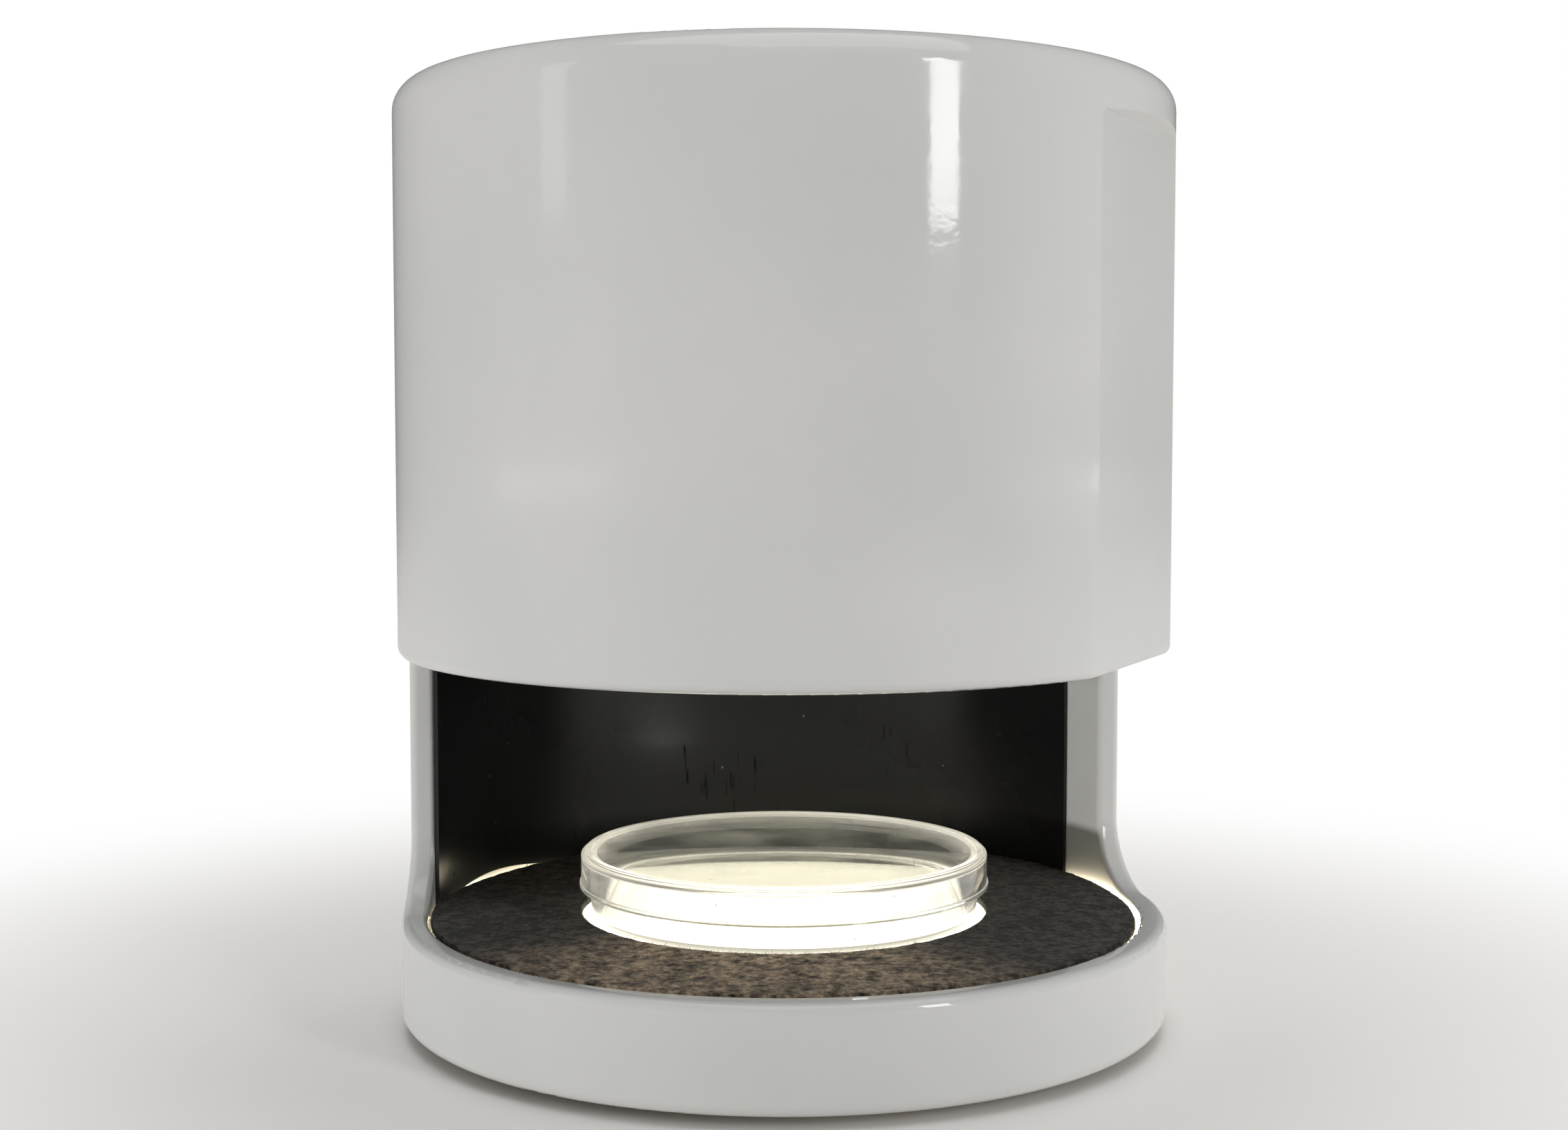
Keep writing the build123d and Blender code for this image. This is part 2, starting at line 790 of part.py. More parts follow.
with BuildPart() as focus_ring:
    with BuildSketch(Plane.XY.offset(focus_ring_bottom)):
        Circle(focus_ring_radius)
        with PolarLocations(focus_ring_radius, focus_grip_count):
            Rectangle(2 * focus_grip_depth, focus_grip_width, mode=Mode.SUBTRACT)
        Circle(barrel_radius + focus_ring_fit, mode=Mode.SUBTRACT)
    extrude(amount=focus_ring_length)
save(focus_ring.part, "focus_ring")

# ---- Controller and connectors -----------------------------------------------------------------

controller_middle = (0, controller_middle_y)

with BuildPart() as controller_standoffs:
    with BuildSketch(Plane.XY.offset(plate_top)):
        with Locations(controller_middle):
            with controller_posts():
                Circle(post_radius)
    extrude(amount=controller_standoff)
save(controller_standoffs.part, "controller_standoffs")

with BuildPart() as controller_board:
    with BuildSketch(Plane.XY.offset(controller_bottom)):
        with Locations(controller_middle):
            Rectangle(controller_width, controller_depth)
    extrude(amount=board_thickness)
save(controller_board.part, "controller_board")

with BuildPart() as controller_chips:
    chip_y = controller_rear_y - controller_depth + chip_margin + chip_side / 2
    with BuildSketch(Plane.XY.offset(controller_top)):
        with Locations((jack_x, chip_y), (usb_x, chip_y)):
            Rectangle(chip_side, chip_side)
    extrude(amount=chip_height)
save(controller_chips.part, "controller_chips")

with BuildPart() as power_jack:
    with BuildSketch(rear_plane(controller_rear_y)):
        with Locations((-jack_x, jack_axis_z)):
            Rectangle(jack_width, jack_height)
    extrude(amount=-jack_depth)
    with BuildSketch(rear_plane(controller_rear_y)):
        with Locations((-jack_x, jack_axis_z)):
            Circle(jack_collar_radius)
    extrude(amount=panel_outer_y - controller_rear_y)
    with BuildSketch(rear_plane(panel_outer_y)):
        with Locations((-jack_x, jack_axis_z)):
            Circle(jack_bore)
            Circle(jack_pin_radius, mode=Mode.SUBTRACT)
    extrude(amount=-jack_bore_depth, mode=Mode.SUBTRACT)
save(power_jack.part, "power_jack")

with BuildPart() as usb_socket:
    usb_place = (-usb_x, controller_top + usb_height / 2)
    usb_length = usb_depth + panel_outer_y - controller_rear_y
    with BuildSketch(rear_plane(panel_outer_y)):
        with Locations(usb_place):
            SlotOverall(usb_width, usb_height)
    extrude(amount=-usb_length)
    with BuildSketch(rear_plane(panel_outer_y)):
        with Locations(usb_place):
            SlotOverall(usb_width - 2 * usb_wall, usb_height - 2 * usb_wall)
            Rectangle(usb_tongue_width, usb_tongue_height, mode=Mode.SUBTRACT)
    extrude(amount=usb_wall - usb_length, mode=Mode.SUBTRACT)
save(usb_socket.part, "usb_socket")

with BuildPart() as button_switch:
    with BuildSketch(rear_plane(switch_rear_y)):
        with Locations((-button_x, button_axis_z)):
            Rectangle(switch_side, switch_side)
            Circle(button_stem + button_fit, mode=Mode.SUBTRACT)
    extrude(amount=-switch_depth)
save(button_switch.part, "button_switch")

with BuildPart() as power_button:
    with BuildSketch(rear_plane(button_inner_y)):
        with Locations((-button_x, button_axis_z)):
            Circle(button_radius)
    extrude(amount=button_outer_y - button_inner_y)
    chamfer(power_button.edges().group_by(Axis.Y)[-1], button_bevel)
    with BuildSketch(rear_plane(button_inner_y)):
        with Locations((-button_x, button_axis_z)):
            Circle(button_stem)
    extrude(amount=-button_stem_length)
save(power_button.part, "power_button")

with BuildPart() as rear_panel:
    with BuildSketch(rear_plane(panel_inner_y)):
        with Locations((0, bay_middle_z)):
            Rectangle(panel_width, panel_height)
        with Locations((-jack_x, jack_axis_z)):
            Circle(jack_collar_radius + port_clearance, mode=Mode.SUBTRACT)
        with Locations(usb_place):
            SlotOverall(usb_width + 2 * port_clearance, usb_height + 2 * port_clearance, mode=Mode.SUBTRACT)
        with Locations((-button_x, button_axis_z)):
            Circle(button_radius + button_fit, mode=Mode.SUBTRACT)
    extrude(amount=panel_thickness)
save(rear_panel.part, "rear_panel")

# ---- Camera ribbon, up the groove in the back wall ----------------------------------------------

with BuildPart() as ribbon_cable:
    with BuildSketch(radial_plane(ribbon_bearing)):
        with BuildLine():
            FilletPolyline(
                (lower_socket_radius + socket_width / 2, ribbon_low_z),
                (ribbon_radius, ribbon_low_z),
                (ribbon_radius, ribbon_high_z),
                (upper_socket_radius + socket_width / 2, ribbon_high_z),
                radius=ribbon_bend,
            )
        trace(line_width=ribbon_thickness)
    extrude(amount=ribbon_width / 2, both=True)
save(ribbon_cable.part, "ribbon_cable")

with BuildPart() as ribbon_sockets:
    for socket_radius, socket_z in (
        (lower_socket_radius, controller_top),
        (upper_socket_radius, camera_board_top),
    ):
        with BuildSketch(Plane.XY.offset(socket_z)):
            with Locations(on_bearing(ribbon_bearing, socket_radius)):
                Rectangle(socket_width, socket_length, rotation=ribbon_bearing - 90)
        extrude(amount=socket_height)
save(ribbon_sockets.part, "ribbon_sockets")

# ---- Petri dish --------------------------------------------------------------------------------

with BuildPart() as dish_base:
    inner_floor = dish_bottom + dish_foot + dish_floor
    with BuildSketch(Plane.XZ) as dish_section:
        with BuildLine():
            Polyline(
                (0, dish_bottom + dish_foot),
                (dish_floor_radius - dish_foot_width, dish_bottom + dish_foot),
                (dish_floor_radius - dish_foot_width, dish_bottom),
                (dish_floor_radius, dish_bottom),
                (dish_radius, dish_top),
                (dish_radius - dish_wall, dish_top),
                (dish_floor_radius - dish_wall, inner_floor),
                (0, inner_floor),
                close=True,
            )
        make_face()
    revolve(axis=Axis.Z)
save(dish_base.part, "dish_base")

with BuildPart() as dish_lid:
    skirt_radius = lid_radius - lid_lip
    bead_outer = skirt_radius - lid_bead_inset
    bead_inner = bead_outer - lid_bead_width
    with BuildSketch(Plane.XZ):
        with BuildLine():
            Polyline(
                (0, lid_under),
                (skirt_radius - lid_wall, lid_under),
                (skirt_radius - lid_wall, lid_bottom),
                (lid_radius, lid_bottom),
                (lid_radius, lid_bottom + lid_lip_height),
                (skirt_radius, lid_bottom + lid_lip_height),
                (skirt_radius, lid_top),
                (bead_outer, lid_top),
                (bead_outer, lid_top + lid_bead_height),
                (bead_inner, lid_top + lid_bead_height),
                (bead_inner, lid_top),
                (0, lid_top),
                close=True,
            )
        make_face()
    revolve(axis=Axis.Z)
    chamfer(dish_lid.edges().group_by(Axis.Z)[-1], lid_bead_bevel)
save(dish_lid.part, "dish_lid")
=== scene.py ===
"""Colony counter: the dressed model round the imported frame. Metres, +Z up, the window facing -Y."""
from math import cos, pi, radians, sin

import bmesh
import bpy
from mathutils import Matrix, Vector, noise


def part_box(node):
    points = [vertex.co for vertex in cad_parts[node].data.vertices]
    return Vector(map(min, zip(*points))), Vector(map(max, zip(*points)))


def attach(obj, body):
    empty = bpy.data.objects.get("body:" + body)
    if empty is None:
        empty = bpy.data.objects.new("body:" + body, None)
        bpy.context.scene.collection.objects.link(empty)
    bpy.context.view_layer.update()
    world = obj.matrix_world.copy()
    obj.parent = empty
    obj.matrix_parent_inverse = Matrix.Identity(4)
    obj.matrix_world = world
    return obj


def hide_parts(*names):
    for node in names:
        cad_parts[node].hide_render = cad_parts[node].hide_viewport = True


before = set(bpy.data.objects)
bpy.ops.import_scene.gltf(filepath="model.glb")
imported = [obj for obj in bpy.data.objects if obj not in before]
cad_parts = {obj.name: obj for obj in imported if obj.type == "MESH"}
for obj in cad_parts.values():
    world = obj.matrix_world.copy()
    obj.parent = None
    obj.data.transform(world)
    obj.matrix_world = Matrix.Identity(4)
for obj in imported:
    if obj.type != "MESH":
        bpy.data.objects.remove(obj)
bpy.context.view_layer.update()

MM = 0.001

# ---- Camera --------------------------------------------------------------------------------------
# Stands half a metre in front, a little to the left of the window's middle and level with the hood,
# and looks very slightly down at the middle of the drum.

aim = Vector((0.0, 0.0, 0.105))
camera_data = bpy.data.cameras.new("camera")
camera_data.sensor_width = 36.0
camera_data.lens = 51.0
camera_data.clip_start = 0.01
camera = bpy.data.objects.new("camera", camera_data)
camera.location = (-0.0761, -0.5057, 0.139)
camera.rotation_euler = (aim - camera.location).to_track_quat("-Z", "Y").to_euler()
bpy.context.scene.collection.objects.link(camera)
bpy.context.scene.camera = camera
bpy.context.scene.view_settings.view_transform = "Standard"

# ---- Floor, world and lamps ----------------------------------------------------------------------
# A plain pale bench top that runs out into white, an even grey room, and large soft lamps: a tall
# window on the right, a dimmer one on the left, and wide panels in front and overhead. Three fill
# lamps, low and far out on both sides and high behind, light the part but aren't mirrored in it.


def linear(code):
    """A colour given as sRGB hex, as the linear RGBA that shaders take."""
    channels = [int(code[i : i + 2], 16) / 255 for i in (0, 2, 4)]
    return (*[c / 12.92 if c <= 0.04045 else ((c + 0.055) / 1.055) ** 2.4 for c in channels], 1.0)


def add_node(tree, kind, inputs=None, **settings):
    """Adds a node with its settings; each input is a plain value or an output to link from."""
    made = tree.nodes.new(kind)
    for name, value in settings.items():
        setattr(made, name, value)
    for name, value in (inputs or {}).items():
        if isinstance(value, bpy.types.NodeSocket):
            tree.links.new(value, made.inputs[name])
        else:
            made.inputs[name].default_value = value
    return made


def arithmetic(tree, operation, first, second):
    """The output of a math node on two values."""
    return add_node(tree, "ShaderNodeMath", {0: first, 1: second}, operation=operation).outputs[0]


def remap(tree, value, start, end, low=0.0, high=1.0, **settings):
    """A value taken from the range start to end into the range low to high, and held there."""
    ends = {"From Min": start, "From Max": end, "To Min": low, "To Max": high}
    return add_node(tree, "ShaderNodeMapRange", {"Value": value, **ends}, **settings).outputs["Result"]


def noise_texture(tree, place, scale, detail, distortion=0.0):
    """Soft noise at a place, with this many features per metre."""
    inputs = {"Vector": place, "Scale": scale, "Detail": detail, "Distortion": distortion}
    return add_node(tree, "ShaderNodeTexNoise", inputs).outputs["Fac"]


def from_axis(tree, place):
    """The level part of a place, measured from the drum's axis, and its length."""
    level = add_node(tree, "ShaderNodeVectorMath", {0: place, 1: (1.0, 1.0, 0.0)}, operation="MULTIPLY")
    reach = add_node(tree, "ShaderNodeVectorMath", {0: level.outputs[0]}, operation="LENGTH")
    return level.outputs[0], reach.outputs["Value"]


def new_material(name):
    """A material with an empty node tree, with that tree and its output node."""
    material = bpy.data.materials.new(name)
    material.use_nodes = True
    material.node_tree.nodes.clear()
    return material, material.node_tree, add_node(material.node_tree, "ShaderNodeOutputMaterial")


def new_object(name, mesh):
    """Links an object that holds this mesh, at the origin."""
    made = bpy.data.objects.new(name, mesh)
    bpy.context.scene.collection.objects.link(made)
    return made


bench_radius = 6.0
bench_corners = 96
white_from, white_to = 0.10, 0.36  # from the axis: where laminate starts to turn white, and where it has

# Bench top: matt pale laminate near the drum, running out into white
floor_material, tree, out = new_material("bench_laminate")
coords = add_node(tree, "ShaderNodeTexCoord").outputs["Object"]
grain = noise_texture(tree, coords, 900.0, 4.0)
tint = add_node(tree, "ShaderNodeValToRGB", {"Fac": grain})
tint.color_ramp.elements[0].color = linear("FAF8F5")
tint.color_ramp.elements[1].color = linear("FEFCF9")
laminate = add_node(
    tree, "ShaderNodeBsdfPrincipled", {"Base Color": tint.outputs["Color"], "Roughness": 0.6}
)
white = add_node(tree, "ShaderNodeEmission", {"Color": (1, 1, 1, 1), "Strength": 1.0})
away = add_node(tree, "ShaderNodeVectorMath", {0: coords}, operation="LENGTH")
fade = remap(tree, away.outputs["Value"], white_from, white_to, interpolation_type="SMOOTHERSTEP")
path = add_node(tree, "ShaderNodeLightPath")
seen = arithmetic(tree, "MULTIPLY", fade, path.outputs["Is Camera Ray"])
mixed = add_node(
    tree, "ShaderNodeMixShader", {"Fac": seen, 1: laminate.outputs[0], 2: white.outputs[0]}
)
tree.links.new(mixed.outputs[0], out.inputs["Surface"])

mesh = bpy.data.meshes.new("bench_top")
turns = [2 * pi * i / bench_corners for i in range(bench_corners)]
rim = [(bench_radius * cos(turn), bench_radius * sin(turn), 0.0) for turn in turns]
mesh.from_pydata(rim, [], [list(range(bench_corners))])
mesh.materials.append(floor_material)
bench_top = new_object("bench_top", mesh)

world = bpy.data.worlds.new("room")
bpy.context.scene.world = world
world.use_nodes = True
tree = world.node_tree
tree.nodes.clear()
path = add_node(tree, "ShaderNodeLightPath")
room = add_node(tree, "ShaderNodeBackground", {"Color": linear("DDDDDC"), "Strength": 0.25})
backdrop = add_node(tree, "ShaderNodeBackground", {"Color": (1, 1, 1, 1), "Strength": 1.0})
mixed = add_node(
    tree,
    "ShaderNodeMixShader",
    {"Fac": path.outputs["Is Camera Ray"], 1: room.outputs[0], 2: backdrop.outputs[0]},
)
add_node(tree, "ShaderNodeOutputWorld", {"Surface": mixed.outputs[0]})

for name, bearing, distance, height, width, tall, power, code, mirrored in (
    ("window_lamp", 35.0, 1.7, 0.62, 0.26, 0.62, 5.4, "FFFFFF", True),
    ("left_lamp", -74.0, 1.7, 0.62, 0.26, 0.6, 0.6, "FBFCFF", True),
    ("front_lamp", 12.0, 2.2, 1.9, 1.6, 1.0, 1.1, "FFFDF8", True),
    ("overhead_lamp", 20.0, 0.3, 1.7, 1.6, 1.6, 10.0, "FFFEFD", True),
    ("left_fill", -76.0, 5.0, 0.32, 3.4, 0.28, 116.0, "FFFEFF", False),
    ("right_fill", 84.0, 5.0, 0.48, 5.0, 0.6, 98.0, "FFFEFF", False),
    ("rear_fill", 170.0, 0.9, 1.5, 1.6, 1.2, 9.0, "FFFEFD", False),
):
    lamp_data = bpy.data.lights.new(name, "AREA")
    lamp_data.shape = "RECTANGLE"
    lamp_data.size = width
    lamp_data.size_y = tall
    lamp_data.energy = power
    lamp_data.color = linear(code)[:3]
    lamp = bpy.data.objects.new(name, lamp_data)
    lamp.location = (distance * sin(radians(bearing)), -distance * cos(radians(bearing)), height)
    lamp.rotation_euler = (aim - lamp.location).to_track_quat("-Z", "Y").to_euler()
    lamp.visible_glossy = mirrored
    bpy.context.scene.collection.objects.link(lamp)

# ---- Smooth faces on the machined and moulded pieces ---------------------------------------------
# One modifier welds a carried-over piece and shades it smooth up to its real edges.

crisp_edge = 28.0  # degrees: edges sharper than this stay crisp

smoothing = bpy.data.node_groups.new("smooth_to_edges", "GeometryNodeTree")
smoothing.interface.new_socket("Geometry", in_out="INPUT", socket_type="NodeSocketGeometry")
angle_socket = smoothing.interface.new_socket("Edge angle", in_out="INPUT", socket_type="NodeSocketFloat")
smoothing.interface.new_socket("Geometry", in_out="OUTPUT", socket_type="NodeSocketGeometry")
entry = add_node(smoothing, "NodeGroupInput")
welded = add_node(
    smoothing, "GeometryNodeMergeByDistance", {"Geometry": entry.outputs["Geometry"], "Distance": 1e-6}
)
smooth = add_node(
    smoothing, "GeometryNodeSetShadeSmooth", {"Geometry": welded.outputs["Geometry"], "Shade Smooth": True}
)
angle = add_node(smoothing, "GeometryNodeInputMeshEdgeAngle")
sharp = add_node(
    smoothing,
    "FunctionNodeCompare",
    {0: angle.outputs["Unsigned Angle"], 1: entry.outputs["Edge angle"]},
    operation="GREATER_THAN",
)
creased = add_node(
    smoothing,
    "GeometryNodeSetShadeSmooth",
    {"Geometry": smooth.outputs["Geometry"], "Selection": sharp.outputs["Result"], "Shade Smooth": False},
    domain="EDGE",
)
add_node(smoothing, "NodeGroupOutput", {"Geometry": creased.outputs["Geometry"]})


def smooth_node(name):
    """Shades a CAD node smooth up to its crisp edges."""
    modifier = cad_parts[name].modifiers.new("smooth_to_edges", "NODES")
    modifier.node_group = smoothing
    modifier[angle_socket.identifier] = radians(crisp_edge)
    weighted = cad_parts[name].modifiers.new("weighted_normals", "WEIGHTED_NORMAL")
    weighted.keep_sharp = True


# ---- Housing -------------------------------------------------------------------------------------
# A thick one-piece moulded drum in glossy white plastic. It is screwed to the bottom plate and
# carries everything else.

# Glossy white ABS with the faint unevenness of a moulded wall and smudges in its gloss
white_abs, tree, out = new_material("gloss_white_abs")
coords = add_node(tree, "ShaderNodeTexCoord").outputs["Object"]
cloud = noise_texture(tree, coords, 14.0, 3.0)
tint = add_node(tree, "ShaderNodeValToRGB", {"Fac": cloud})
tint.color_ramp.elements[0].position = 0.3
tint.color_ramp.elements[0].color = linear("CFD0CD")
tint.color_ramp.elements[1].position = 0.7
tint.color_ramp.elements[1].color = linear("D6D6D5")
smudge = noise_texture(tree, coords, 60.0, 5.0)
gloss = remap(tree, smudge, 0.35, 0.7, low=0.06, high=0.11)
peel = noise_texture(tree, coords, 420.0, 2.0)
bump = add_node(tree, "ShaderNodeBump", {"Height": peel, "Strength": 0.04, "Distance": 0.0004})
plastic = add_node(
    tree,
    "ShaderNodeBsdfPrincipled",
    {
        "Base Color": tint.outputs["Color"],
        "Roughness": gloss,
        "IOR": 1.5,
        "Normal": bump.outputs["Normal"],
    },
)
tree.links.new(plastic.outputs[0], out.inputs["Surface"])


def dress(material, *names):
    """Gives CAD nodes a finish and smooth shading."""
    for name in names:
        cad_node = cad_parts[name]
        cad_node.data.materials.clear()
        cad_node.data.materials.append(material)
        smooth_node(name)


dress(white_abs, "housing_shell")

# ---- Bottom closure and feet ---------------------------------------------------------------------
# A flat moulded plate closes the drum's foot. It is held by countersunk steel screws and stands on
# four soft rubber feet glued into shallow seats.


def plain_finish(name, dark, light, grain, rough, depth=0.0, metallic=0.0, ior=1.5):
    """A solid material with a fine mottle: colours as hex, grain per metre, roughness range, bump depth."""
    material, tree, out = new_material(name)
    coords = add_node(tree, "ShaderNodeTexCoord").outputs["Object"]
    mottle = noise_texture(tree, coords, grain, 4.0)
    tint = add_node(tree, "ShaderNodeValToRGB", {"Fac": mottle})
    tint.color_ramp.elements[0].position = 0.35
    tint.color_ramp.elements[0].color = linear(dark)
    tint.color_ramp.elements[1].position = 0.65
    tint.color_ramp.elements[1].color = linear(light)
    gloss = remap(tree, mottle, 0.3, 0.7, low=rough[0], high=rough[1])
    bump = add_node(tree, "ShaderNodeBump", {"Height": mottle, "Strength": 0.5, "Distance": depth})
    surface = add_node(
        tree,
        "ShaderNodeBsdfPrincipled",
        {
            "Base Color": tint.outputs["Color"],
            "Roughness": gloss,
            "Metallic": metallic,
            "IOR": ior,
            "Normal": bump.outputs["Normal"],
        },
    )
    tree.links.new(surface.outputs[0], out.inputs["Surface"])
    return material


# Unpainted beige ABS sheet, fine satin texture
beige_abs = plain_finish("beige_abs_sheet", "A3977D", "B0A48B", 900.0, (0.45, 0.6), 0.00004)
# Zinc-plated steel, slightly uneven
zinc_steel = plain_finish(
    "zinc_plated_steel", "9A9C9E", "B9BABB", 1500.0, (0.25, 0.4), 0.00001, metallic=1.0
)
# Black rubber, dull, with a little bloom
foot_rubber = plain_finish("black_rubber", "1A1A1A", "262626", 1300.0, (0.75, 0.9), 0.00006)

dress(beige_abs, "base_plate")
dress(zinc_steel, "base_screws", "pillar_screws", "stage_screws", "camera_screws")
dress(foot_rubber, "rubber_feet")

# ---- Stage ---------------------------------------------------------------------------------------
# A white acrylic plate on four pillars carries an opal diffuser, lit from below, and a ring of black
# felt glued round it. The felt stops light at the sides, and the plate's edge has a painted glow.

# Painted glow on the plate's rim: where it starts and where it is full, and its strength
glow_from, glow_full = 0.0788, 0.0793  # from the axis: the plate's rim, where it shows past the felt
rim_glow = 9.0
disc_middle, disc_edge = 0.02, 0.052  # from the axis: where the diffuser starts to dim, and its edge
middle_glow, edge_glow = 2.1, 1.9
# The felt's painted warm glow: where it fades out from the opening, and the way it is brightest towards
felt_glow_from, felt_glow_to = 0.047, 0.085  # from the axis: the felt's opening, and past its outer edge
window_way = (-0.26, -0.966, 0.0)  # level, towards the window and a little left

# Natural aluminium pillars
pillar_metal = plain_finish(
    "turned_aluminium", "B4B6B8", "C8C9CA", 2500.0, (0.3, 0.4), 0.00001, metallic=1.0
)
dress(pillar_metal, "stage_pillars")

# White acrylic with a painted warm glow on its rim, strongest at the right and back, for backlight leaking
# past the felt
painted_glow_acrylic, tree, out = new_material("acrylic_with_painted_rim_glow")
coords = add_node(tree, "ShaderNodeTexCoord").outputs["Object"]
flat_place, radius = from_axis(tree, coords)
at_rim = remap(tree, radius, glow_from, glow_full, high=rim_glow)
patchy = noise_texture(tree, coords, 30.0, 2.0)
patches = remap(tree, patchy, 0.3, 0.7, low=0.4)
outwards = add_node(tree, "ShaderNodeVectorMath", {0: flat_place}, operation="NORMALIZE")
heading = add_node(tree, "ShaderNodeSeparateXYZ", {0: outwards.outputs[0]})
right_side = remap(tree, heading.outputs["X"], 0.72, 0.95)
rear_side = remap(tree, heading.outputs["Y"], 0.08, 0.35)
loose = arithmetic(tree, "MAXIMUM", right_side, rear_side)
patches = arithmetic(tree, "MULTIPLY", patches, loose)
glow = arithmetic(tree, "MULTIPLY", at_rim, patches)
acrylic = add_node(
    tree,
    "ShaderNodeBsdfPrincipled",
    {
        "Base Color": linear("E8E6DE"),
        "Roughness": 0.3,
        "Emission Color": linear("FFF0D2"),
        "Emission Strength": glow,
    },
)
tree.links.new(acrylic.outputs[0], out.inputs["Surface"])
dress(painted_glow_acrylic, "stage_plate")

# Opal acrylic diffuser, glowing warm white and a touch dimmer towards its edge
opal, tree, out = new_material("lit_opal_acrylic")
coords = add_node(tree, "ShaderNodeTexCoord").outputs["Object"]
_, radius = from_axis(tree, coords)
lamp_pattern = noise_texture(tree, coords, 40.0, 1.0)
falloff = remap(tree, radius, disc_middle, disc_edge, low=middle_glow, high=edge_glow)
uneven = remap(tree, lamp_pattern, 0.0, 1.0, low=0.93, high=1.07)
strength = arithmetic(tree, "MULTIPLY", falloff, uneven)
diffuser = add_node(
    tree,
    "ShaderNodeBsdfPrincipled",
    {
        "Base Color": linear("F2F0E6"),
        "Roughness": 0.35,
        "Emission Color": linear("FFFADF"),
        "Emission Strength": strength,
    },
)
tree.links.new(diffuser.outputs[0], out.inputs["Surface"])
dress(opal, "light_diffuser")

# Black wool felt: short matted pile, with a painted warm glow brightest by the disc and towards the window
wool, tree, out = new_material("black_wool_felt")
coords = add_node(tree, "ShaderNodeTexCoord").outputs["Object"]
matting = noise_texture(tree, coords, 760.0, 6.0)
clumps = noise_texture(tree, coords, 330.0, 3.0)
blend = arithmetic(tree, "MULTIPLY", matting, clumps)
tint = add_node(tree, "ShaderNodeValToRGB", {"Fac": blend})
tint.color_ramp.elements[0].position = 0.19
tint.color_ramp.elements[0].color = linear("070707")
tint.color_ramp.elements[1].position = 0.34
tint.color_ramp.elements[1].color = linear("43403B")
bump = add_node(tree, "ShaderNodeBump", {"Height": blend, "Strength": 1.0, "Distance": 0.0009})
# Painted glow: warm emission fading outwards, brightest towards the window, mottled with the pile
flat_place, radius = from_axis(tree, coords)
glow_by_radius = remap(tree, radius, felt_glow_from, felt_glow_to, low=0.3, high=0.2)
outwards = add_node(tree, "ShaderNodeVectorMath", {0: flat_place}, operation="NORMALIZE")
forwards = add_node(
    tree, "ShaderNodeVectorMath", {0: outwards.outputs[0], 1: window_way}, operation="DOT_PRODUCT"
)
glow_towards_window = remap(tree, forwards.outputs["Value"], 0.55, 1.0, low=0.04, interpolation_type="SMOOTHERSTEP")
spread = arithmetic(tree, "MULTIPLY", glow_by_radius, glow_towards_window)
glow_grain = remap(tree, blend, 0.12, 0.44)
painted_felt_glow = arithmetic(tree, "MULTIPLY", spread, glow_grain)
felt_surface = add_node(
    tree,
    "ShaderNodeBsdfPrincipled",
    {
        "Base Color": tint.outputs["Color"],
        "Roughness": 0.95,
        "Sheen Weight": 0.08,
        "Sheen Roughness": 0.5,
        "Emission Color": linear("FFE0B6"),
        "Emission Strength": painted_felt_glow,
        "Normal": bump.outputs["Normal"],
    },
)
tree.links.new(felt_surface.outputs[0], out.inputs["Surface"])


def finished_mesh(name, made):
    """Turns the faces outward, shades them smooth and makes the mesh."""
    bmesh.ops.recalc_face_normals(made, faces=made.faces)
    mesh = bpy.data.meshes.new(name)
    made.to_mesh(mesh)
    made.free()
    for face in mesh.polygons:
        face.use_smooth = True
    return mesh


def revolve(name, profile, columns, wobble=None):
    """A closed surface turned from a closed (radius, height) outline in millimetres, anticlockwise."""
    made = bmesh.new()
    rings = []
    for column in range(columns):
        turn = 2 * pi * column / columns
        ring = []
        for r, z in profile:
            if wobble:
                r, z = wobble(r, z, turn)
            ring.append(made.verts.new((r * MM * cos(turn), r * MM * sin(turn), z * MM)))
        rings.append(ring)
    for column in range(columns):
        here, there = rings[column], rings[(column + 1) % columns]
        for row in range(len(profile)):
            below = (row + 1) % len(profile)
            made.faces.new((here[row], there[row], there[below], here[below]))
    bmesh.ops.remove_doubles(made, verts=made.verts, dist=1e-7)
    return finished_mesh(name, made)


felt_low, felt_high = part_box("stage_felt")
felt_inner = 46.9
felt_outer = felt_high.x / MM
felt_bottom = felt_low.z / MM
felt_top = felt_high.z / MM
felt_middle = (felt_bottom + felt_top) / 2
edge_width, edge_drop = 0.35, 0.15  # millimetres in and down from the flat top to each cut edge
top_steps = 38
top_step = (felt_outer - felt_inner - 2 * edge_width) / top_steps
felt_profile = [
    (felt_inner, felt_bottom),
    (felt_outer, felt_bottom),
    (felt_outer + 0.05, felt_middle),
    (felt_outer - 0.1, felt_top - edge_drop),
    *[(felt_outer - edge_width - i * top_step, felt_top) for i in range(top_steps + 1)],
    (felt_inner + 0.1, felt_top - edge_drop),
]
felt_columns = 540

# The felt is cut a little wider than its solid, then trimmed back in two places: millimetres, and
# the bearing and half width of each place in degrees
felt_spare = 0.7
right_trim, right_bearing, right_spread = 1.4, 92, 34
rear_trim, rear_bearing, rear_spread = 1.7, -130, 40

# Millimetres that the pile moves: frayed cut edges, fine tufts and broad mats
fray, tuft, mat = 0.25, 0.16, 0.1


def lobe(turn, middle, spread):
    """A soft bump from 0 to 1 and back, round the drum: angles in degrees of bearing."""
    away = (turn * 180 / pi + 90 - middle + 180) % 360 - 180
    return 0.5 + 0.5 * cos(pi * min(1.0, abs(away) / spread))


def light_gap(turn):
    """How far the felt's cut edge lies inside its solid's, in millimetres; below 0 it lies outside."""
    at_right = right_trim * lobe(turn, right_bearing, right_spread)
    return at_right + rear_trim * lobe(turn, rear_bearing, rear_spread) - felt_spare


